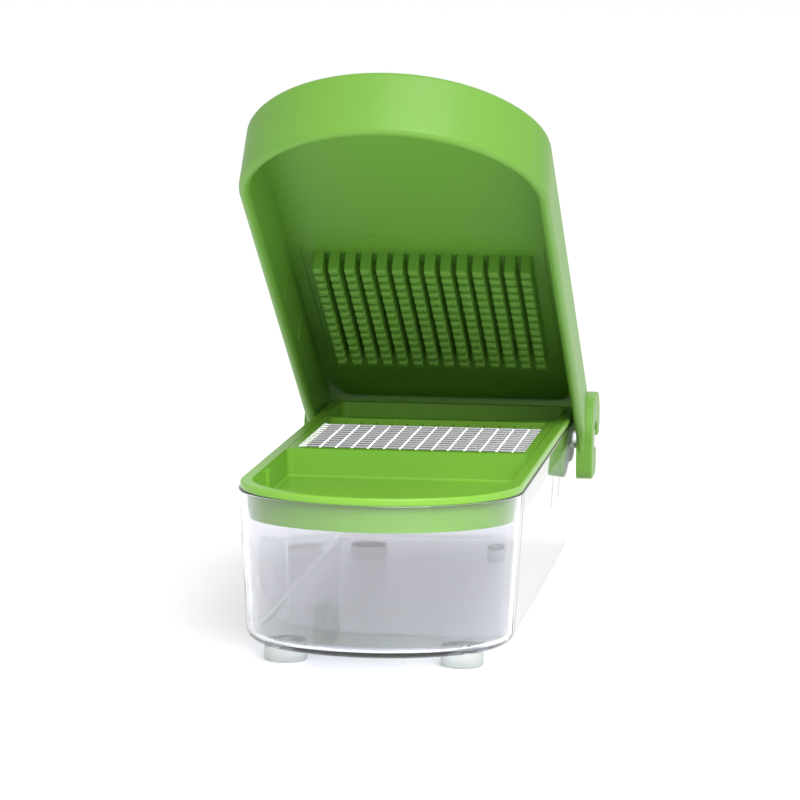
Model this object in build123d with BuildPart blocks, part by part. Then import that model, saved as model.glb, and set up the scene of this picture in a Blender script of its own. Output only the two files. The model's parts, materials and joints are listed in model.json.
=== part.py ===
from build123d import *
import os
from math import cos, radians, sin, sqrt, tan

# Lever-press vegetable dicer: a clear bin with a D-shaped plan, a drop-in deck that carries a
# square grid of steel strips, and a lid hinged on the bin that pushes food through the grid.
# X is across, the rounded front faces -Y, +Z is up. The origin is on the table, under the middle
# of the whole dicer. The lid is modelled standing part open.

# ---------------------------------------------------------------- driving dimensions (mm)
# blade grid
cells = 14                  # cells each way
cell_pitch = 6.35           # a quarter inch, strip to strip
strip_thickness = 0.5
strip_height = 6.0
strip_recess = 1.8          # cutting edges below the deck's top
strip_edge_width = 0.1      # what the grinding leaves of the thickness
strip_edge_depth = 0.6      # how far down each side is ground
strip_tail = 1.1            # each end held in the cassette
slot_play = 0.06            # play of a strip in its slot, each side

# clear bin
nose_to_grid = 130.0        # nose of the bin to the first cell
grid_to_back = 57.2         # last cell to the back of the bin
bin_height = 56.5
bin_draft = 3.4             # degrees, narrower towards the floor
bin_wall = 2.5
bin_floor = 2.6
bin_edge = 4.5              # outer round along the floor
bin_top_round = 0.6         # outer round along the top
bow_excess = 8.0            # nose radius beyond half the width
shoulder_round = 45.0       # where the nose meets the sides
rear_round = 9.0

# feet
foot_height = 5.5
foot_radius = 7.9
foot_edge = 1.2
foot_stem_radius = 3.0
foot_stem_height = 1.4
foot_spacing = 65.0         # across, centre to centre
foot_inset = 28.4           # nose to the front pair, back to the rear pair

# deck
rim_thickness = 2.6
rim_step = 0.65             # in from the bin's outer face
rim_round = 0.9
skirt_play = 0.9            # skirt to bin wall
skirt_wall = 1.6
tray_depth = 11.0
tray_floor = 1.8
tray_floor_round = 1.0
tray_corner = 3.0
grid_wall = 1.6             # deck wall in front of and behind the cassette
cassette_border = 3.45      # window to the recess that holds the cassette
cassette_play = 0.25
ledge_width = 1.7
rib_width = 1.2
rib_proud = 1.2
rib_drop = 0.8              # deck top to the top of a tray rib
rib_setback = 73.0          # tray ribs, nose to rib

# cassette
cassette_depth = 9.8        # deck top to underside
cassette_split = 4.8        # deck top to the joint between its two frames
cassette_corner = 1.5
eject_radius = 0.8
eject_spacing = 77.0
eject_depth = 1.2

# hinge
pin_radius = 4.0
pin_play = 0.06
pin_inset = 10.1            # bin's back to the pin's axis
pin_drop = 12.5             # deck top to the pin's axis
pin_root = 1.2              # sunk into the bin's wall
pin_end_step = 0.3          # pin's end in from the ear's outer face

# lid
lid_opening = 32.2          # degrees it stands open
lid_side_gap = 1.2          # bin's side to the inside of the lip
lid_nose_gap = 6.5          # bin's nose to the inside of the lip when shut
lid_height = 26.0           # lip to top
lid_lip_drop = 19.3         # lip below the deck's top when shut
lid_draft = 2.4
lid_wall = 4.2
lid_ceiling = 2.2
lid_edge = 2.4
lid_bow_excess = 1.3        # nose radius beyond half the width
lid_shoulder_round = 48.0
lip_flat = 0.1              # what the lip's two rounds leave between them
lid_rear_play = 1.4         # bin's back to the lid's rear wall when shut
lid_swing_play = 0.6        # rear wall's foot to the bin's back when fully open
lid_rib_width = 1.2
lid_rib_play = 0.4          # bin's side to the ribs when shut
lid_rib_root = 0.5          # sunk into the side wall
lid_rib_rise = 6.1          # lip to the ribs' foot
lid_rib_setbacks = (90.0, 130.0)     # pin's axis to each rib

# lid ears
# Places on the ears are (rearward, upward) from the pin's axis, with the lid part open.
ear_proud = 2.5             # outer face beyond the lid's side
ear_radius = 16.5
ear_centre = (2.0, 2.5)
heel_radius = 11.0
heel_centre = (13.0, 7.5)
ear_edge = 0.8
hook_rise = 32.2            # degrees the ears' level stands above the lip's plane
hook_tip = -0.3             # level where the upper jaw ends
throat_top = 6.5
throat_rear = 13.0
throat_round = 4.5
jaw_round = 1.5
lug_front = 14.5            # ahead of the pin's axis
lug_rear = 7.0
lug_drop = 15.5
lug_corner = 5.0
sweep_radius = 16.0         # the lip's sweep down into the lug
sweep_reach = 14.0          # how far the sweep follows the lip
sweep_strip = 4.0           # its height above the lip
sweep_cover = 0.3           # its ends lie this deep in the lip and the lug

# pusher
tooth_width = 4.4
tooth_depth = 4.0
tooth_length = 8.7
tooth_tip = 1.4             # rise of the rounded tip
pusher_border = 4.0
pusher_plate = 1.2
pusher_play = 0.1

# ---------------------------------------------------------------- derived places
window = cells * cell_pitch
bin_length = nose_to_grid + window + grid_to_back
deck_z = foot_height + bin_height + rim_thickness
bin_top_z = foot_height + bin_height
ear_rear = heel_centre[0] + heel_radius

nose_y = -(bin_length - pin_inset + ear_rear) / 2
back_y = nose_y + bin_length
grid_front = nose_y + nose_to_grid
grid_back = grid_front + window
grid_mid = (grid_front + grid_back) / 2
pin_y = back_y - pin_inset
pin_z = deck_z - pin_drop

draft_slope = tan(radians(bin_draft))
skirt_inset = bin_wall + skirt_play
skirt_depth = tray_depth + tray_floor - rim_thickness
rim_inset = skirt_inset + skirt_wall
pocket_half = window / 2 + cassette_border      # inside of the deck's rim
ledge_half = pocket_half - ledge_width
bin_half = pocket_half + rim_inset              # at the top edge
lid_inner_half = bin_half + lid_side_gap
lid_half = lid_inner_half + lid_wall
ear_face = lid_half + ear_proud
lid_rib_proud = lid_side_gap - lid_rib_play
strip_top_z = deck_z - strip_recess
strip_half = window / 2 + strip_tail
inner_lines = [cell_pitch * (i - cells / 2) for i in range(1, cells)]


def d_plan(sketch, half_width, nose, rear, bow, shoulder, rear_corner):
    """Draw a round nose, straight sides and a square back with rounded corners."""
    side_start = nose + bow - sqrt(bow**2 - half_width**2)
    with BuildLine() as edge:
        Polyline((half_width, side_start), (half_width, rear), (-half_width, rear), (-half_width, side_start))
        ThreePointArc((-half_width, side_start), (0, nose), (half_width, side_start))
    make_face(edge.edges())
    fillet(sketch.vertices().group_by(Axis.Y)[-1], rear_corner)
    fillet(sketch.vertices().sort_by(Axis.Y)[:2], shoulder)


def bin_plan(sketch, inset):
    """Outline of the bin's top edge, stepped in by inset."""
    d_plan(sketch, bin_half - inset, nose_y + inset, back_y - inset,
           bin_half + bow_excess - inset, shoulder_round - inset, rear_round - inset)


def write(part, name):
    """Label one finished piece and write it as its own node."""
    part.label = name
    export_step(part, f"parts/{name}.step")


os.makedirs("parts", exist_ok=True)

# ---------------------------------------------------------------- clear bin
floor_shift = bin_height * draft_slope
foot_rows = (nose_y + foot_inset, back_y - foot_inset)
foot_places = [(x, y) for y in foot_rows for x in (-foot_spacing / 2, foot_spacing / 2)]
inner_depth = bin_height - bin_floor
inner_shift = bin_wall + inner_depth * draft_slope

with BuildPart() as bin_body:
    with BuildSketch(Plane.XY.offset(foot_height)) as outer:
        bin_plan(outer, floor_shift)
    extrude(amount=bin_height, taper=-bin_draft)
    fillet(bin_body.faces().sort_by(Axis.Z)[0].edges(), bin_edge)
    with BuildSketch(Plane.XY.offset(foot_height + bin_floor)) as inner:
        bin_plan(inner, inner_shift)
    extrude(amount=inner_depth, taper=-bin_draft, mode=Mode.SUBTRACT)
    floor_edges = bin_body.edges().filter_by_position(Axis.Z, foot_height + bin_floor - 0.01,
                                                      foot_height + bin_floor + 0.01)
    fillet(floor_edges, bin_edge - bin_wall)
    fillet(bin_body.faces().sort_by(Axis.Z)[-1].outer_wire().edges(), bin_top_round)
    # hinge pins stand out of both sides near the back
    pin_wall = bin_half - (bin_top_z - pin_z) * draft_slope
    for side in (1, -1):
        with BuildSketch(Plane((side * (pin_wall - pin_root), pin_y, pin_z), z_dir=(side, 0, 0))):
            Circle(pin_radius)
        extrude(amount=ear_face - pin_end_step - pin_wall + pin_root)
    # sockets for the feet
    with BuildSketch(Plane.XY.offset(foot_height)):
        with Locations(*foot_places):
            Circle(foot_stem_radius + slot_play)
    extrude(amount=foot_stem_height + slot_play, mode=Mode.SUBTRACT)
write(bin_body.part, "container")

foot_names = ("foot_front_left", "foot_front_right", "foot_rear_left", "foot_rear_right")
for name, place in zip(foot_names, foot_places):
    with BuildPart() as foot:
        with BuildSketch():
            with Locations(place):
                Circle(foot_radius)
        extrude(amount=foot_height)
        fillet(foot.faces().sort_by(Axis.Z)[0].edges(), foot_edge)
        with BuildSketch(Plane.XY.offset(foot_height)):
            with Locations(place):
                Circle(foot_stem_radius)
        extrude(amount=foot_stem_height)
    write(foot.part, name)

# ---------------------------------------------------------------- deck
tray_back = grid_front - cassette_border - grid_wall
well_front = grid_back + cassette_border + grid_wall
rib_inner = pocket_half - tray_depth * draft_slope - rib_proud

with BuildPart() as deck:
    with BuildSketch(Plane.XY.offset(bin_top_z)) as rim:
        bin_plan(rim, rim_step)
    extrude(amount=rim_thickness)
    fillet(deck.faces().sort_by(Axis.Z)[-1].edges(), rim_round)
    with BuildSketch(Plane.XY.offset(bin_top_z)) as skirt:
        bin_plan(skirt, skirt_inset)
    extrude(amount=-skirt_depth, taper=bin_draft)
    # front tray
    with BuildSketch(Plane.XY.offset(deck_z)) as tray:
        bin_plan(tray, rim_inset)
        with Locations((0, tray_back - bin_length / 2)):
            Rectangle(2 * bin_half, bin_length, mode=Mode.INTERSECT)
        fillet(tray.vertices().group_by(Axis.Y)[-1], tray_corner)
    extrude(amount=-tray_depth, taper=bin_draft, mode=Mode.SUBTRACT)
    # rear well
    with BuildSketch(Plane.XY.offset(deck_z)) as well:
        bin_plan(well, rim_inset)
        with Locations((0, well_front + bin_length / 2)):
            Rectangle(2 * bin_half, bin_length, mode=Mode.INTERSECT)
        fillet(well.vertices().group_by(Axis.Y)[0], tray_corner)
    extrude(amount=-tray_depth, taper=bin_draft, mode=Mode.SUBTRACT)
    pocket_floor = deck_z - tray_depth
    pocket_edges = deck.edges().filter_by_position(Axis.Z, pocket_floor - 0.01, pocket_floor + 0.01)
    fillet(pocket_edges, tray_floor_round)
    # recess, ledge and opening for the cassette
    with BuildSketch(Plane.XY.offset(deck_z)):
        with Locations((0, grid_mid)):
            RectangleRounded(2 * pocket_half, 2 * pocket_half, cassette_corner)
    extrude(amount=-rim_thickness, mode=Mode.SUBTRACT)
    with BuildSketch(Plane.XY.offset(deck_z)):
        with Locations((0, grid_mid)):
            RectangleRounded(2 * ledge_half, 2 * ledge_half, cassette_corner)
    extrude(amount=-rim_thickness - skirt_depth, mode=Mode.SUBTRACT)
    # a small rib on each side wall of the tray
    with BuildSketch(Plane.XY.offset(pocket_floor)):
        for side in (1, -1):
            with Locations((side * (rib_inner + pocket_half) / 2, nose_y + rib_setback)):
                Rectangle(pocket_half - rib_inner, rib_width)
    extrude(amount=tray_depth - rib_drop)
write(deck.part, "deck_frame")

# ---------------------------------------------------------------- cassette
joint_z = deck_z - cassette_split
flange_side = 2 * (pocket_half - cassette_play)
body_side = 2 * (ledge_half - cassette_play)
slot_width = strip_thickness + 2 * slot_play
slot_length = 2 * (strip_half + slot_play)
strip_low_z = strip_top_z - strip_height
eject_places = [(x, y) for y in (grid_front - cassette_border / 2, grid_back + cassette_border / 2)
                for x in (-eject_spacing / 2, eject_spacing / 2)]


def strip_slots():
    """Crossed slots for all the strips' ends."""
    with Locations(*[(0, grid_mid + place) for place in inner_lines]):
        Rectangle(slot_length, slot_width)
    with Locations(*[(place, grid_mid) for place in inner_lines]):
        Rectangle(slot_width, slot_length)


with BuildPart() as cassette_top:
    with BuildSketch(Plane.XY.offset(joint_z)):
        with Locations((0, grid_mid)):
            RectangleRounded(body_side, body_side, cassette_corner)
    extrude(amount=cassette_split)
    with BuildSketch(Plane.XY.offset(bin_top_z)):
        with Locations((0, grid_mid)):
            RectangleRounded(flange_side, flange_side, cassette_corner)
    extrude(amount=rim_thickness)
    with BuildSketch(Plane.XY.offset(joint_z)):
        with Locations((0, grid_mid)):
            Rectangle(window, window)
    extrude(amount=cassette_split, mode=Mode.SUBTRACT)
    with BuildSketch(Plane.XY.offset(joint_z)):
        strip_slots()
    extrude(amount=strip_top_z + slot_play - joint_z, mode=Mode.SUBTRACT)
    # small release holes in the front and back borders
    with BuildSketch(Plane.XY.offset(deck_z)):
        with Locations(*eject_places):
            Circle(eject_radius)
    extrude(amount=-eject_depth, mode=Mode.SUBTRACT)
write(cassette_top.part, "cassette_top")

with BuildPart() as cassette_base:
    with BuildSketch(Plane.XY.offset(deck_z - cassette_depth)):
        with Locations((0, grid_mid)):
            RectangleRounded(body_side, body_side, cassette_corner)
            Rectangle(window, window, mode=Mode.SUBTRACT)
    extrude(amount=cassette_depth - cassette_split)
    with BuildSketch(Plane.XY.offset(strip_low_z - slot_play)):
        strip_slots()
    extrude(amount=joint_z - strip_low_z + slot_play, mode=Mode.SUBTRACT)
write(cassette_base.part, "cassette_base")

# ---------------------------------------------------------------- cutting strips
strip_mid_z = strip_top_z - strip_height / 2
lap_depth = strip_height / 2 + slot_play
up = Vector(0, 0, 1)


def cutting_strip(middle, along, lap_side):
    """One strip standing on edge, ground along its top, with a half-lap slot at every crossing."""
    side_half = strip_thickness / 2
    edge_half = strip_edge_width / 2
    top = strip_height / 2
    ground = top - strip_edge_depth
    with BuildPart() as strip:
        with BuildSketch(Plane(middle, x_dir=up.cross(along), z_dir=along)):
            with BuildLine():
                Polyline((-side_half, -top), (side_half, -top), (side_half, ground), (edge_half, top),
                         (-edge_half, top), (-side_half, ground), close=True)
            make_face()
        extrude(amount=strip_half, both=True)
        with BuildSketch(Plane(middle, x_dir=along, z_dir=along.cross(up))):
            with Locations(*[(place, lap_side * (strip_height - lap_depth) / 2) for place in inner_lines]):
                Rectangle(slot_width, lap_depth)
        extrude(amount=strip_thickness, both=True, mode=Mode.SUBTRACT)
    return strip.part


for number, place in enumerate(inner_lines, start=1):
    cross_middle = (0, grid_mid + place, strip_mid_z)
    write(cutting_strip(cross_middle, Vector(1, 0, 0), -1), f"cross_strip_{number:02d}")
    long_middle = (place, grid_mid, strip_mid_z)
    write(cutting_strip(long_middle, Vector(0, 1, 0), 1), f"long_strip_{number:02d}")

# ---------------------------------------------------------------- lid
# Heights and lengths here are in the lid's own plane, which passes through the pins' axis and
# leans back by the opening angle.
opening = radians(lid_opening)
lid_back = Vector(0, cos(opening), -sin(opening))
lid_up = Vector(0, sin(opening), cos(opening))
lid_plane = Plane((0, pin_y, pin_z), x_dir=(1, 0, 0), z_dir=lid_up)
lid_axis = Axis((0, pin_y, pin_z), lid_up)

lip_h = pin_drop - lid_lip_drop
top_h = lip_h + lid_height
ceiling_h = top_h - lid_ceiling
lip_round = (lid_wall - lip_flat) / 2
lid_nose_y = nose_y - lid_nose_gap - lid_wall - pin_y
lid_rear_y = pin_inset + lid_rear_play + lid_wall
rear_foot_h = pin_inset + lid_swing_play
grid_mid_y = grid_mid - pin_y
insert_side = window + 2 * pusher_border

ear_tilt = opening - radians(hook_rise)
ear_plane = Plane((0, pin_y, pin_z), x_dir=(0, cos(ear_tilt), -sin(ear_tilt)), z_dir=(1, 0, 0))


def lid_plan(sketch, inset):
    """Outline of the lid's lip, stepped in by inset."""
    d_plan(sketch, lid_half - inset, lid_nose_y + inset, lid_rear_y - inset,
           lid_half + lid_bow_excess - inset, lid_shoulder_round - inset, rear_round - inset)


seat_radius = pin_radius + pin_play
with BuildSketch(ear_plane) as throat:
    with Locations(((throat_rear - seat_radius) / 2, (throat_top - seat_radius) / 2)):
        Rectangle(throat_rear + seat_radius, throat_top + seat_radius)
    low_corners = throat.vertices().group_by(Axis.Y)[0].sort_by(Axis.X)
    fillet(throat.vertices().group_by(Axis.Y)[-1], throat_round)
    fillet(low_corners[0], seat_radius)

# the lip sweeps down into the lug; places are on the ear's plane
lip_along = Vector(cos(radians(hook_rise)), -sin(radians(hook_rise)))
lip_normal = Vector(sin(radians(hook_rise)), cos(radians(hook_rise)))
sweep_h = lip_h + sweep_cover
lug_line = sweep_cover - lug_front
lug_end = lug_corner - lug_drop
corner_along = (lug_line - lip_normal.X * sweep_h) / lip_along.X
sweep_corner = lip_normal * sweep_h + lip_along * corner_along
sweep_start = sweep_corner - lip_along * sweep_reach
sweep_top = sweep_corner.Y + sweep_strip
sweep_wall = lid_wall - 2 * sweep_cover

with BuildPart() as lug_sweep:
    with BuildSketch(ear_plane.offset(lid_inner_half + sweep_cover)) as sweep_plan:
        with BuildLine():
            Polyline(sweep_start, sweep_corner, (lug_line, lug_end), (lug_line + sweep_strip, lug_end),
                     (lug_line + sweep_strip, sweep_top), sweep_start + lip_normal * sweep_strip, close=True)
        make_face()
        fillet(sweep_plan.vertices().sort_by_distance(sweep_corner)[0], sweep_radius)
    extrude(amount=sweep_wall)
    fillet(lug_sweep.edges().filter_by(GeomType.CIRCLE), (sweep_wall - lip_flat) / 2)

with BuildPart() as ear:
    with BuildSketch(ear_plane.offset(lid_inner_half)) as ear_plan:
        with Locations(ear_centre):
            Circle(ear_radius)
        with Locations(heel_centre):
            Circle(heel_radius)
        make_hull()
        with Locations((0, hook_tip - 2 * ear_radius)):
            Rectangle(6 * ear_radius, 4 * ear_radius, mode=Mode.SUBTRACT)
        with Locations(((lug_rear - lug_front) / 2, -lug_drop / 2)):
            Rectangle(lug_front + lug_rear, lug_drop)
        fillet(ear_plan.vertices().group_by(Axis.Y)[0], lug_corner)
        add(throat.sketch_local, mode=Mode.SUBTRACT)
        jaw_ends = ear_plan.vertices().filter_by_position(Axis.Y, hook_tip - 0.01, hook_tip + 0.01)
        fillet(jaw_ends.filter_by_position(Axis.X, throat_rear - 0.01, ear_rear), jaw_round)
    extrude(amount=ear_face - lid_inner_half)
    fillet(ear.faces().sort_by(Axis.X)[-1].edges(), ear_edge)
    add(lug_sweep.part)

with BuildPart() as lid:
    with BuildSketch(lid_plane.offset(lip_h)) as lid_outer:
        lid_plan(lid_outer, 0)
    extrude(amount=lid_height, taper=lid_draft)
    fillet(lid.faces().sort_by(lid_axis)[-1].edges(), lid_edge)
    with BuildSketch(lid_plane.offset(lip_h)) as lid_inner:
        lid_plan(lid_inner, lid_wall)
    extrude(amount=lid_height - lid_ceiling, taper=lid_draft, mode=Mode.SUBTRACT)
    fillet(lid.faces().sort_by(lid_axis)[0].edges(), lip_round)
    # the back stays open below a short rear wall
    with BuildSketch(lid_plane.offset(lip_h - 1)):
        with Locations((0, lid_rear_y)):
            Rectangle(2 * lid_inner_half, 2 * (lid_rear_y - pin_inset))
    extrude(amount=rear_foot_h - lip_h + 1, mode=Mode.SUBTRACT)
    # recess for the pusher
    with BuildSketch(lid_plane.offset(ceiling_h)):
        with Locations((0, grid_mid_y)):
            Rectangle(insert_side, insert_side)
    extrude(amount=pusher_plate, mode=Mode.SUBTRACT)
    # ribs on the side walls
    with BuildSketch(lid_plane.offset(lip_h + lid_rib_rise)):
        for side in (1, -1):
            for setback in lid_rib_setbacks:
                with Locations((side * (lid_inner_half + (lid_rib_root - lid_rib_proud) / 2), -setback)):
                    Rectangle(lid_rib_proud + lid_rib_root, lid_rib_width)
    extrude(amount=lid_height - lid_ceiling - lid_rib_rise)
    # hooked ears that hang on the pins
    for side in (1, -1):
        extrude(throat.sketch, amount=side * (lid_half + 1), mode=Mode.SUBTRACT)
    add(ear.part)
    mirror(ear.part, about=Plane.YZ)
write(lid.part, "lid")

# ---------------------------------------------------------------- pusher
column_places = [cell_pitch * (i + 0.5 - cells / 2) for i in range(cells)]
column_planes = [Plane((x, pin_y, pin_z), x_dir=lid_back, z_dir=(1, 0, 0)) for x in column_places]

with BuildSketch() as tooth_side:
    with BuildLine():
        root = pusher_plate / 2
        Polyline((-tooth_depth / 2, tooth_tip - tooth_length), (-tooth_depth / 2, root),
                 (tooth_depth / 2, root), (tooth_depth / 2, tooth_tip - tooth_length))
        ThreePointArc((-tooth_depth / 2, tooth_tip - tooth_length), (0, -tooth_length),
                      (tooth_depth / 2, tooth_tip - tooth_length))
    make_face()

with BuildPart() as pusher:
    with BuildSketch(lid_plane.offset(ceiling_h)):
        with Locations((0, grid_mid_y)):
            Rectangle(insert_side - 2 * pusher_play, insert_side - 2 * pusher_play)
    extrude(amount=pusher_plate)
    with BuildSketch(*column_planes):
        with Locations(*[(grid_mid_y + place, ceiling_h) for place in column_places]):
            add(tooth_side.sketch)
    extrude(amount=tooth_width / 2, both=True)
write(pusher.part, "pusher")
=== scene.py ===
import json
from math import cos, radians, sin, tan

import bmesh
import bpy
from bpy.props import FloatProperty, FloatVectorProperty, IntProperty, PointerProperty
from mathutils import Matrix, Vector


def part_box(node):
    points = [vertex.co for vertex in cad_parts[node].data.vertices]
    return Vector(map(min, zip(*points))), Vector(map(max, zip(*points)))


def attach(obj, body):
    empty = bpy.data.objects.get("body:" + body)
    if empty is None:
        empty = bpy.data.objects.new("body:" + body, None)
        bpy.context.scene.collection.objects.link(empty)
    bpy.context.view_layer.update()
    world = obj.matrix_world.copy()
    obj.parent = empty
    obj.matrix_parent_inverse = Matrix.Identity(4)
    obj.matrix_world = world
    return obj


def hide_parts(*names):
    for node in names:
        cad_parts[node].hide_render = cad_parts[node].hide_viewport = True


bl_info = {
    "name": "Lever Press Dicer",
    "version": (1, 0, 0),
    "blender": (4, 5, 0),
    "location": "3D View > Sidebar > Dicer",
    "description": "Finishes a lever-press dicer: green mouldings, clear bin, steel grid and pusher",
    "category": "Add Mesh",
}

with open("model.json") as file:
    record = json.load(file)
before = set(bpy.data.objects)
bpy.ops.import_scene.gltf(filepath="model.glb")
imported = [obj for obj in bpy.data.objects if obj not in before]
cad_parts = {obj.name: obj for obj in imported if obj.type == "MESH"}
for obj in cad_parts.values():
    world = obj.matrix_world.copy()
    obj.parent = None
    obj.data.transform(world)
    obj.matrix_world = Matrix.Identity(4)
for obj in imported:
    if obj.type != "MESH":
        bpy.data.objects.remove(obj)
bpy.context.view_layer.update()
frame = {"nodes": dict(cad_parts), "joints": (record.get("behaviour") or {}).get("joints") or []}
MM = 0.001

# The moulded skin's real grain of about 0.05 mm is too fine to show, so it is drawn coarser.
skin_grain = 0.5 * MM

hinge = frame["joints"][0]
pin = Vector(hinge["pos_m"])
lid_opening = radians(-hinge["range_deg"][0])
# Lid places are (across, rearward, upward) from the pins' axis in the lid's own plane.
lid_to_row = Matrix.Translation(pin) @ Matrix.Rotation(-lid_opening, 4, "X")


def linear(hex_colour):
    """sRGB hex colour as linear RGBA."""
    channels = [int(hex_colour[i:i + 2], 16) / 255 for i in (1, 3, 5)]
    return [c / 12.92 if c <= 0.04045 else ((c + 0.055) / 1.055) ** 2.4 for c in channels] + [1.0]


def lid_extent(node):
    """Lowest and highest corner of a node of the lid, in the lid's own plane."""
    to_lid = lid_to_row.inverted()
    points = [to_lid @ v.co for v in frame["nodes"][node].data.vertices]
    low = Vector(min(p[i] for p in points) for i in range(3))
    high = Vector(max(p[i] for p in points) for i in range(3))
    return low, high


# ---------------------------------------------------------------- what a user would change
class DicerColours(bpy.types.PropertyGroup):
    # Set darker than the deck's green to paint in the shade inside the lid; the pusher takes the same green.
    lid: FloatVectorProperty(
        name="Lid", description="Green of the lid and its pusher", subtype="COLOR", size=4,
        min=0, max=1, default=linear("#699B39"))
    deck: FloatVectorProperty(
        name="Deck", description="Green of the deck and the blade cassette", subtype="COLOR", size=4,
        min=0, max=1, default=linear("#7CB43D"))
    bin: FloatVectorProperty(
        name="Bin", description="Faint tint of the clear bin", subtype="COLOR", size=4,
        min=0, max=1, default=linear("#F0F0F6"))
    feet: FloatVectorProperty(
        name="Feet", description="Milky tint of the feet", subtype="COLOR", size=4,
        min=0, max=1, default=linear("#EEF3EE"))
    steel: FloatVectorProperty(
        name="Strips", description="Steel of the cutting strips", subtype="COLOR", size=4,
        min=0, max=1, default=linear("#DADBDC"))
    ink: FloatVectorProperty(
        name="Marks", description="Grey of the measuring marks", subtype="COLOR", size=4,
        min=0, max=1, default=linear("#6A6A74"))


class DicerSizes(bpy.types.PropertyGroup):
    tooth_width: FloatProperty(
        name="Tooth width", description="Across the dicer", unit="LENGTH", default=4.4 * MM)
    tooth_depth: FloatProperty(
        name="Tooth depth", description="Front to back", unit="LENGTH", default=4.0 * MM)
    tooth_edge: FloatProperty(
        name="Tooth edge", description="Round along a tooth's sides", unit="LENGTH", default=0.8 * MM)
    tooth_tip: FloatProperty(
        name="Tooth tip", description="Round at a tooth's tip", unit="LENGTH", default=1.3 * MM)
    plate: FloatProperty(
        name="Pusher plate", description="Thickness of the plate that carries the teeth",
        unit="LENGTH", default=1.2 * MM)
    plate_edge: FloatProperty(
        name="Plate edge", description="Round along the plate's edges", unit="LENGTH", default=0.2 * MM)
    eject_radius: FloatProperty(
        name="Ejector mark", description="Radius of the round marks left by ejector pins",
        unit="LENGTH", default=3.2 * MM)
    eject_ring: FloatProperty(
        name="Ejector ring", description="Width of the raised ring around a mark",
        unit="LENGTH", default=0.3 * MM)
    eject_relief: FloatProperty(
        name="Ejector relief", description="How far the ring stands out",
        unit="LENGTH", default=0.08 * MM)
    eject_skin: FloatProperty(
        name="Ejector skin", description="How far a mark lies off the lid's ceiling",
        unit="LENGTH", default=0.02 * MM)
    eject_front: FloatProperty(
        name="Ejector front", description="Pusher's front edge to the row of marks",
        unit="LENGTH", default=7.04 * MM)
    eject_overhang: FloatProperty(
        name="Ejector overhang", description="How far the outer marks stand beyond the pusher's sides",
        unit="LENGTH", default=1.5 * MM)
    eject_inner: FloatProperty(
        name="Inner marks", description="Place of the inner marks as a share of the pusher's half width",
        default=1 / 2.6)
    tick_pitch: FloatProperty(
        name="Mark spacing", description="Height between two measuring marks",
        unit="LENGTH", default=1.25 * MM)
    tick_size: FloatVectorProperty(
        name="Mark size", description="Ink thickness, length and height of one mark",
        unit="LENGTH", default=(0.12 * MM, 2.4 * MM, 0.5 * MM))
    tick_edge: FloatProperty(
        name="Mark edge", description="Round along a mark's edges", unit="LENGTH", default=0.05 * MM)
    tick_long: FloatProperty(
        name="Long mark", description="How many times longer every fifth mark is", default=1.8)
    tick_drop: FloatProperty(
        name="Mark drop", description="Deck's underside to the top mark", unit="LENGTH", default=1.5 * MM)
    tick_columns: FloatVectorProperty(
        name="Mark columns", description="Places of the two columns along the dicer", size=2,
        unit="LENGTH", default=(25 * MM, 55 * MM))
    tick_count: IntProperty(
        name="Marks", description="Measuring marks in one column", min=1, default=11)
    rim_step: FloatProperty(
        name="Rim step", description="How far the deck's rim stands in from the bin's side",
        unit="LENGTH", default=0.65 * MM)
    bin_draft: FloatProperty(
        name="Bin draft", description="How far the bin's walls lean in",
        subtype="ANGLE", default=radians(3.4))


class DicerStage(bpy.types.PropertyGroup):
    table_half: FloatProperty(
        name="Table", description="Half the side of the table", unit="LENGTH", default=30)
    table_gap: FloatProperty(
        name="Table gap", description="How far the table lies below the feet", unit="LENGTH",
        default=0.05 * MM)
    camera_place: FloatVectorProperty(
        name="Camera", description="Where the camera stands", subtype="TRANSLATION",
        default=(0.19458, -1.54572, 0.27857))
    camera_yaw: FloatProperty(
        name="Yaw", description="Camera's turn to the left", subtype="ANGLE", default=0.129221)
    camera_pitch: FloatProperty(
        name="Pitch", description="Camera's tilt down", subtype="ANGLE", default=0.125461)
    camera_roll: FloatProperty(
        name="Roll", description="Camera's roll", subtype="ANGLE", default=0.008986)
    lens: FloatProperty(name="Lens", description="Focal length", unit="CAMERA", default=180.4)
    backdrop: FloatProperty(name="Backdrop", description="Brightness of the white backdrop", default=1.05)
    sky: FloatProperty(name="Sky", description="Light that the white surroundings give", default=0.66)
    ceiling_spread: FloatProperty(
        name="Ceiling spread", description="How wide the light from above seems",
        subtype="ANGLE", default=radians(50))
    ceiling_power: FloatProperty(
        name="Ceiling light", description="Strength of the even light from above", default=1.4)
    key_power: FloatProperty(
        name="Key light", description="Power of the softbox in front", unit="POWER", default=27)
    back_power: FloatProperty(
        name="Back light", description="Power of the softbox behind", unit="POWER", default=4)


# ---------------------------------------------------------------- materials
def new_material(name):
    """An empty node material and the input of its surface."""
    material = bpy.data.materials.new(name)
    material.use_nodes = True
    material.node_tree.nodes.clear()
    output = material.node_tree.nodes.new("ShaderNodeOutputMaterial")
    return material, material.node_tree, output.inputs["Surface"]


def add_node(tree, kind, inputs, **settings):
    """One node with its settings; each input is a value or the output that feeds it."""
    node = tree.nodes.new(kind)
    for key, value in settings.items():
        setattr(node, key, value)
    for socket, value in inputs.items():
        if isinstance(value, bpy.types.NodeSocket):
            tree.links.new(value, node.inputs[socket])
        else:
            node.inputs[socket].default_value = value
    return node


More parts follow.
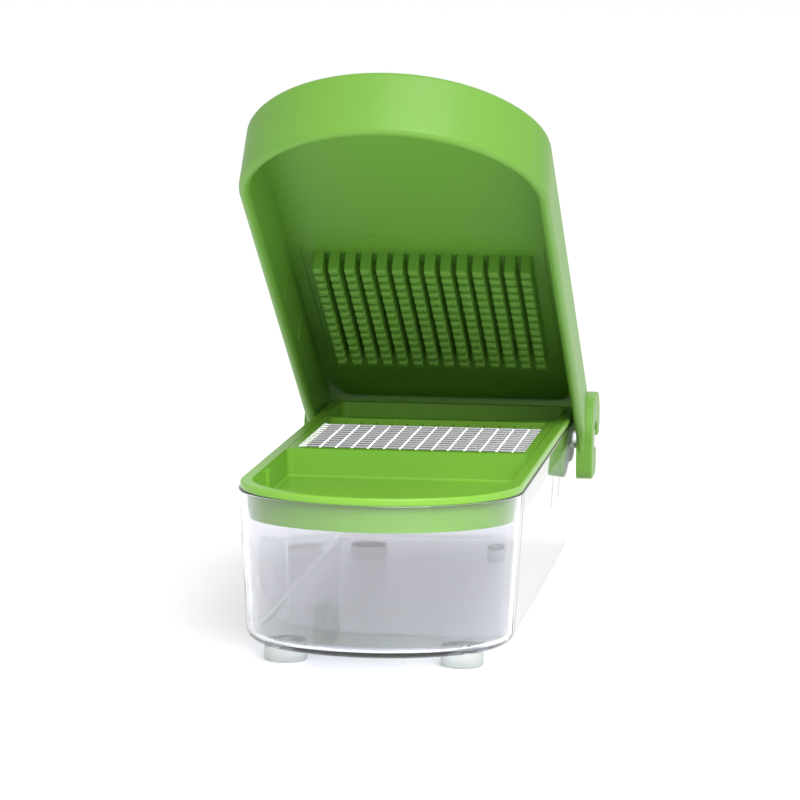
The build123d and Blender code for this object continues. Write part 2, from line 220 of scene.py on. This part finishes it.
def moulded_abs(name, colour, roughness, grain):
    """Injection-moulded ABS: even colour with faint flow, and a spark-eroded skin with a satin sheen."""
    material, tree, surface = new_material(name)
    place = add_node(tree, "ShaderNodeTexCoord", {}).outputs["Object"]
    flow = add_node(tree, "ShaderNodeTexNoise", {"Vector": place, "Scale": 1 / (45 * MM), "Detail": 2.0})
    skin = add_node(tree, "ShaderNodeTexNoise", {"Vector": place, "Scale": 1 / grain, "Detail": 3.0})
    shade = add_node(tree, "ShaderNodeMapRange", {
        "Value": flow.outputs["Fac"], "To Min": 0.94, "To Max": 1.06})
    tinted = add_node(tree, "ShaderNodeHueSaturation", {"Value": shade.outputs["Result"], "Color": colour})
    polish = add_node(tree, "ShaderNodeMapRange", {
        "Value": skin.outputs["Fac"], "To Min": roughness - 0.05, "To Max": roughness + 0.05})
    relief = add_node(tree, "ShaderNodeBump", {
        "Height": skin.outputs["Fac"], "Strength": 0.15, "Distance": 0.02 * MM})
    shader = add_node(tree, "ShaderNodeBsdfPrincipled", {
        "Base Color": tinted.outputs["Color"], "Roughness": polish.outputs["Result"],
        "Normal": relief.outputs["Normal"], "IOR": 1.53, "Specular IOR Level": 0.32})
    tree.links.new(shader.outputs["BSDF"], surface)
    return material


def clear_san(colour):
    """Injection-moulded SAN, a clear glassy plastic: polished, with faint handling scuffs.

    It bends what is seen through it and mirrors the white surroundings at a low angle. Lamps shine
    through it, so that the inside is lit as it is behind thin clear walls.
    """
    material, tree, surface = new_material("clear_moulded_SAN")
    place = add_node(tree, "ShaderNodeTexCoord", {}).outputs["Object"]
    drawn = add_node(tree, "ShaderNodeMapping", {"Vector": place, "Scale": (1.0, 1.0, 0.25)})
    scuffs = add_node(tree, "ShaderNodeTexNoise", {
        "Vector": drawn.outputs["Vector"], "Scale": 1 / (3 * MM), "Detail": 4.0})
    polish = add_node(tree, "ShaderNodeMapRange", {
        "Value": scuffs.outputs["Fac"], "From Min": 0.45, "From Max": 0.8, "To Min": 0.015, "To Max": 0.09})
    glass = add_node(tree, "ShaderNodeBsdfPrincipled", {
        "Base Color": colour, "Roughness": polish.outputs["Result"], "Transmission Weight": 1.0, "IOR": 1.57})
    pane = add_node(tree, "ShaderNodeBsdfTransparent", {"Color": colour})
    ray = add_node(tree, "ShaderNodeLightPath", {})
    mixed = add_node(tree, "ShaderNodeMixShader", {
        0: ray.outputs["Is Shadow Ray"], 1: glass.outputs["BSDF"], 2: pane.outputs["BSDF"]})
    tree.links.new(mixed.outputs["Shader"], surface)
    return material


def milky_silicone(colour):
    """Moulded silicone rubber: milky, soft sheen, light glows through its edges."""
    material, tree, surface = new_material("milky_silicone_rubber")
    place = add_node(tree, "ShaderNodeTexCoord", {}).outputs["Object"]
    bloom = add_node(tree, "ShaderNodeTexNoise", {"Vector": place, "Scale": 1 / (1.5 * MM), "Detail": 3.0})
    dusty = add_node(tree, "ShaderNodeMapRange", {
        "Value": bloom.outputs["Fac"], "To Min": 0.35, "To Max": 0.5})
    shader = add_node(tree, "ShaderNodeBsdfPrincipled", {
        "Base Color": colour, "Roughness": dusty.outputs["Result"], "Transmission Weight": 0.6, "IOR": 1.41})
    tree.links.new(shader.outputs["BSDF"], surface)
    return material


def ground_steel(name, colour, stretch):
    """Cold-rolled stainless strip: bright, with grinding lines along its length.

    The lines are about 0.02 mm apart, too fine to show, so they are drawn 0.3 mm apart.
    """
    material, tree, surface = new_material(name)
    place = add_node(tree, "ShaderNodeTexCoord", {}).outputs["Object"]
    drawn = add_node(tree, "ShaderNodeMapping", {"Vector": place, "Scale": stretch})
    lines = add_node(tree, "ShaderNodeTexNoise", {
        "Vector": drawn.outputs["Vector"], "Scale": 1 / (0.3 * MM), "Detail": 3.0})
    polish = add_node(tree, "ShaderNodeMapRange", {
        "Value": lines.outputs["Fac"], "To Min": 0.13, "To Max": 0.21})
    relief = add_node(tree, "ShaderNodeBump", {
        "Height": lines.outputs["Fac"], "Strength": 0.1, "Distance": 0.01 * MM})
    shader = add_node(tree, "ShaderNodeBsdfPrincipled", {
        "Base Color": colour, "Metallic": 1.0, "Roughness": polish.outputs["Result"],
        "Normal": relief.outputs["Normal"]})
    tree.links.new(shader.outputs["BSDF"], surface)
    return material


def pad_ink(colour):
    """Pad-printed ink: matt and slightly uneven where the pad pressed less."""
    material, tree, surface = new_material("pad_printed_ink")
    place = add_node(tree, "ShaderNodeTexCoord", {}).outputs["Object"]
    press = add_node(tree, "ShaderNodeTexNoise", {"Vector": place, "Scale": 1 / (0.8 * MM)})
    shade = add_node(tree, "ShaderNodeMapRange", {
        "Value": press.outputs["Fac"], "To Min": 0.8, "To Max": 1.25})
    tinted = add_node(tree, "ShaderNodeHueSaturation", {"Value": shade.outputs["Result"], "Color": colour})
    shader = add_node(tree, "ShaderNodeBsdfPrincipled", {
        "Base Color": tinted.outputs["Color"], "Roughness": 0.6})
    tree.links.new(shader.outputs["BSDF"], surface)
    return material


def satin_acrylic():
    """White acrylic light table: pale, faintly lit from below, softly mirrors what stands on it."""
    material, tree, surface = new_material("satin_white_acrylic")
    shader = add_node(tree, "ShaderNodeBsdfPrincipled", {
        "Base Color": linear("#F4F5F3"), "Roughness": 0.22, "IOR": 1.49, "Specular IOR Level": 0.4,
        "Emission Color": (1, 1, 1, 1), "Emission Strength": 0.18})
    tree.links.new(shader.outputs["BSDF"], surface)
    return material


def coat(material, *nodes):
    """Give CAD nodes a finish."""
    for name in nodes:
        slots = frame["nodes"][name].data.materials
        slots.clear()
        slots.append(material)


# ---------------------------------------------------------------- mesh helpers
def finished(mesh, name, material, body):
    """Turn a bmesh into a finished piece that rides on a body."""
    bmesh.ops.remove_doubles(mesh, verts=mesh.verts, dist=0.0005 * MM)
    bmesh.ops.recalc_face_normals(mesh, faces=mesh.faces)
    data = bpy.data.meshes.new(name)
    mesh.to_mesh(data)
    mesh.free()
    data.materials.append(material)
    piece = bpy.data.objects.new(name, data)
    bpy.context.scene.collection.objects.link(piece)
    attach(piece, body)
    return piece


def only_verts(geometry):
    """The vertices in what an operator returned."""
    return [part for part in geometry if isinstance(part, bmesh.types.BMVert)]


def repeat(mesh, places):
    """Copy the whole mesh to every place, and drop the first one."""
    first = mesh.verts[:]
    whole = first + mesh.edges[:] + mesh.faces[:]
    for place in places:
        copied = bmesh.ops.duplicate(mesh, geom=whole)["geom"]
        bmesh.ops.transform(mesh, matrix=place, verts=only_verts(copied))
    bmesh.ops.delete(mesh, geom=first, context="VERTS")


def take_in(mesh, other):
    """Move another bmesh into a bmesh."""
    carrier = bpy.data.meshes.new("carrier")
    other.to_mesh(carrier)
    other.free()
    mesh.from_mesh(carrier)
    bpy.data.meshes.remove(carrier)


def rounded_box(size, edge, segments):
    """A box with every edge rounded, centred on the origin."""
    mesh = bmesh.new()
    bmesh.ops.create_cube(mesh, size=1, matrix=Matrix.Diagonal((*size, 1)))
    bmesh.ops.bevel(mesh, geom=mesh.edges[:], offset=edge, segments=segments, affect="EDGES",
                    profile=0.5, material=-1)
    return mesh


# ---------------------------------------------------------------- operators
class DICER_OT_green_mouldings(bpy.types.Operator):
    """Finish the lid, the deck and the two cassette frames"""
    bl_idname = "dicer.green_mouldings"
    bl_label = "Green mouldings"

    def execute(self, context):
        colours = context.scene.dicer_colours
        # The lid's darker green carries painted shade for the inside of the lid.
        coat(moulded_abs("satin_moulded_ABS_lid", colours.lid, 0.4, skin_grain), "lid")
        coat(moulded_abs("satin_moulded_ABS_deck", colours.deck, 0.3, skin_grain),
             "deck_frame", "cassette_top", "cassette_base")
        return {"FINISHED"}


class DICER_OT_clear_bin(bpy.types.Operator):
    """Finish the clear bin and its feet"""
    bl_idname = "dicer.clear_bin"
    bl_label = "Clear bin and feet"

    def execute(self, context):
        colours = context.scene.dicer_colours
        coat(clear_san(colours.bin), "container")
        coat(milky_silicone(colours.feet), *[n for n in frame["nodes"] if n.startswith("foot_")])
        return {"FINISHED"}


class DICER_OT_steel_grid(bpy.types.Operator):
    """Finish the crossed cutting strips"""
    bl_idname = "dicer.steel_grid"
    bl_label = "Steel grid"

    def execute(self, context):
        steel = context.scene.dicer_colours.steel
        coat(ground_steel("ground_stainless_cross", steel, (0.03, 1, 1)),
             *[n for n in frame["nodes"] if n.startswith("cross_strip")])
        coat(ground_steel("ground_stainless_long", steel, (1, 0.03, 1)),
             *[n for n in frame["nodes"] if n.startswith("long_strip")])
        return {"FINISHED"}


class DICER_OT_pusher(bpy.types.Operator):
    """Mould the pusher: a plate with one rounded tooth for every cell of the grid"""
    bl_idname = "dicer.pusher"
    bl_label = "Pusher"

    def execute(self, context):
        sizes = context.scene.dicer_sizes
        low, high = lid_extent("pusher")
        strips = [n for n in frame["nodes"] if n.startswith("cross_strip")]
        cells = len(strips) + 1
        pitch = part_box("cross_strip_02")[0].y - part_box("cross_strip_01")[0].y
        middle_y = (low.y + high.y) / 2
        plate_z = high.z - sizes.plate
        tooth_top = plate_z + sizes.plate / 2       # rooted half way into the plate
        tooth_length = tooth_top - low.z

        mesh = bmesh.new()
        bmesh.ops.create_cube(mesh, size=1, matrix=Matrix.Diagonal(
            (sizes.tooth_width, sizes.tooth_depth, tooth_length, 1)))
        upright = [e for e in mesh.edges if abs(e.verts[0].co.z - e.verts[1].co.z) > tooth_length / 2]
        bmesh.ops.bevel(mesh, geom=upright, offset=sizes.tooth_edge, segments=2, affect="EDGES",
                        profile=0.5, material=-1)
        tip = min(mesh.faces, key=lambda f: f.calc_center_median().z)
        bmesh.ops.bevel(mesh, geom=tip.edges[:], offset=sizes.tooth_tip, segments=3, affect="EDGES",
                        profile=0.5, material=-1)
        lines = [pitch * (i + 0.5 - cells / 2) for i in range(cells)]
        level = tooth_top - tooth_length / 2
        places = [(x, middle_y + y, level) for x in lines for y in lines]
        repeat(mesh, [lid_to_row @ Matrix.Translation(place) for place in places])
        plate = rounded_box((high.x - low.x, high.y - low.y, sizes.plate), sizes.plate_edge, 2)
        plate_place = lid_to_row @ Matrix.Translation((0, middle_y, plate_z + sizes.plate / 2))
        bmesh.ops.transform(plate, matrix=plate_place, verts=plate.verts)
        take_in(mesh, plate)
        # The pusher shares the lid's darker green, which carries painted shade for the inside of the lid.
        green = moulded_abs("satin_moulded_ABS_pusher", context.scene.dicer_colours.lid, 0.4, skin_grain)
        piece = finished(mesh, "pusher_teeth", green, "lid")
        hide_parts("pusher")
        return {"FINISHED"}


class DICER_OT_ejector_marks(bpy.types.Operator):
    """Add the round marks that ejector pins leave on the lid's ceiling"""
    bl_idname = "dicer.ejector_marks"
    bl_label = "Ejector marks"

    def execute(self, context):
        sizes = context.scene.dicer_sizes
        low, high = lid_extent("pusher")
        ceiling = high.z - sizes.plate
        front = low.y - sizes.eject_front
        outer = low.x - sizes.eject_overhang
        inner = low.x * sizes.eject_inner
        level = ceiling - sizes.eject_skin
        places = [(x, front, level) for x in (outer, inner, -inner, -outer)]
        mesh = bmesh.new()
        bmesh.ops.create_circle(mesh, cap_ends=True, radius=sizes.eject_radius, segments=40)
        ring = bmesh.ops.inset_individual(mesh, faces=mesh.faces[:], thickness=sizes.eject_ring)["faces"]
        raised = bmesh.ops.extrude_face_region(mesh, geom=ring)["geom"]
        bmesh.ops.translate(mesh, vec=(0, 0, -sizes.eject_relief), verts=only_verts(raised))
        repeat(mesh, [lid_to_row @ Matrix.Translation(place) for place in places])
        green = bpy.data.materials["satin_moulded_ABS_lid"]
        finished(mesh, "ejector_marks", green, "lid")
        return {"FINISHED"}


class DICER_OT_fill_marks(bpy.types.Operator):
    """Print the columns of measuring marks on both side walls of the bin"""
    bl_idname = "dicer.fill_marks"
    bl_label = "Measuring marks"

    def execute(self, context):
        sizes = context.scene.dicer_sizes
        deck_low, deck_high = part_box("deck_frame")
        bin_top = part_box("container")[1].z
        top = deck_low.z - sizes.tick_drop
        places = []
        for side in (1, -1):
            lean = Matrix.Rotation(side * sizes.bin_draft, 4, "Y")
            for column in sizes.tick_columns:
                for i in range(sizes.tick_count):
                    z = top - i * sizes.tick_pitch
                    x = deck_high.x + sizes.rim_step - (bin_top - z) * tan(sizes.bin_draft)
                    length = Matrix.Diagonal((1, sizes.tick_long if i % 5 == 0 else 1, 1, 1))
                    places.append(Matrix.Translation((side * x, column, z)) @ lean @ length)
        mesh = rounded_box(sizes.tick_size, sizes.tick_edge, 1)
        repeat(mesh, places)
        finished(mesh, "fill_marks", pad_ink(context.scene.dicer_colours.ink), "base")
        return {"FINISHED"}


def aim(lamp, place):
    """Put a lamp at a place and turn it to the middle of the dicer."""
    middle = Vector((0, 0, 90 * MM))
    holder = bpy.data.objects.new(lamp.name, lamp)
    holder.location = place
    holder.rotation_euler = (middle - Vector(place)).to_track_quat("-Z", "Y").to_euler()
    bpy.context.scene.collection.objects.link(holder)


class DICER_OT_stage(bpy.types.Operator):
    """Lay the table, light it and place the camera"""
    bl_idname = "dicer.stage"
    bl_label = "Stage"

    def execute(self, context):
        stage = context.scene.dicer_stage
        scene = context.scene
        scene.view_settings.view_transform = "Standard"
        mesh = bmesh.new()
        bmesh.ops.create_grid(mesh, x_segments=8, y_segments=8, size=stage.table_half)
        bmesh.ops.translate(mesh, vec=(0, 0, -stage.table_gap), verts=mesh.verts)
        data = bpy.data.meshes.new("table")
        mesh.to_mesh(data)
        mesh.free()
        data.materials.append(satin_acrylic())
        table = bpy.data.objects.new("table", data)
        scene.collection.objects.link(table)

        world = bpy.data.worlds.new("white_surroundings")
        world.use_nodes = True
        tree = world.node_tree
        seen = add_node(tree, "ShaderNodeLightPath", {}).outputs["Is Camera Ray"]
        strength = add_node(tree, "ShaderNodeMapRange", {
            "Value": seen, "To Min": stage.sky, "To Max": stage.backdrop})
        background = tree.nodes["Background"]
        background.inputs["Color"].default_value = (1, 1, 1, 1)
        tree.links.new(strength.outputs["Result"], background.inputs["Strength"])
        scene.world = world

        ceiling = bpy.data.lights.new("ceiling_light", "SUN")
        ceiling.angle = stage.ceiling_spread
        ceiling.energy = stage.ceiling_power
        aim(ceiling, (0.6, -0.7, 1.8))
        for name, place, size, power in (
                ("key_softbox", (0.6, -1.6, 1.25), 1.2, stage.key_power),
                ("back_softbox", (0.3, 1.6, 1.4), 1.4, stage.back_power)):
            lamp = bpy.data.lights.new(name, "AREA")
            lamp.size = size
            lamp.energy = power
            aim(lamp, place)

        forward = Vector((-sin(stage.camera_yaw) * cos(stage.camera_pitch),
                          cos(stage.camera_yaw) * cos(stage.camera_pitch), -sin(stage.camera_pitch)))
        level = Vector((cos(stage.camera_yaw), sin(stage.camera_yaw), 0))
        upright = level.cross(forward)
        right = level * cos(stage.camera_roll) + upright * sin(stage.camera_roll)
        up = upright * cos(stage.camera_roll) - level * sin(stage.camera_roll)
        lens = bpy.data.cameras.new("camera")
        lens.lens = stage.lens
        lens.sensor_width = 36
        lens.clip_end = 100
        camera = bpy.data.objects.new("camera", lens)
        turn = Matrix((right, up, -forward)).transposed().to_4x4()
        camera.matrix_world = Matrix.Translation(stage.camera_place) @ turn
        scene.collection.objects.link(camera)
        scene.camera = camera
        return {"FINISHED"}


class DICER_PT_panel(bpy.types.Panel):
    """Lists the steps that finish the dicer"""
    bl_idname = "DICER_PT_panel"
    bl_label = "Lever Press Dicer"
    bl_space_type = "VIEW_3D"
    bl_region_type = "UI"
    bl_category = "Dicer"

    def draw(self, context):
        for step in steps:
            self.layout.operator(step.bl_idname)
        for group in (context.scene.dicer_colours, context.scene.dicer_sizes, context.scene.dicer_stage):
            for key in group.__annotations__:
                self.layout.prop(group, key)


groups = (DicerColours, DicerSizes, DicerStage)
steps = (DICER_OT_green_mouldings, DICER_OT_clear_bin, DICER_OT_steel_grid, DICER_OT_pusher,
         DICER_OT_ejector_marks, DICER_OT_fill_marks, DICER_OT_stage)


def register():
    for kind in (*groups, *steps, DICER_PT_panel):
        bpy.utils.register_class(kind)
    bpy.types.Scene.dicer_colours = PointerProperty(type=DicerColours)
    bpy.types.Scene.dicer_sizes = PointerProperty(type=DicerSizes)
    bpy.types.Scene.dicer_stage = PointerProperty(type=DicerStage)


def unregister():
    del bpy.types.Scene.dicer_stage
    del bpy.types.Scene.dicer_sizes
    del bpy.types.Scene.dicer_colours
    for kind in reversed((*groups, *steps, DICER_PT_panel)):
        bpy.utils.unregister_class(kind)


def main():
    register()
    bpy.ops.dicer.green_mouldings()
    bpy.ops.dicer.clear_bin()
    bpy.ops.dicer.steel_grid()
    bpy.ops.dicer.pusher()
    bpy.ops.dicer.ejector_marks()
    bpy.ops.dicer.fill_marks()
    bpy.ops.dicer.stage()


if __name__ == "__main__":
    main()
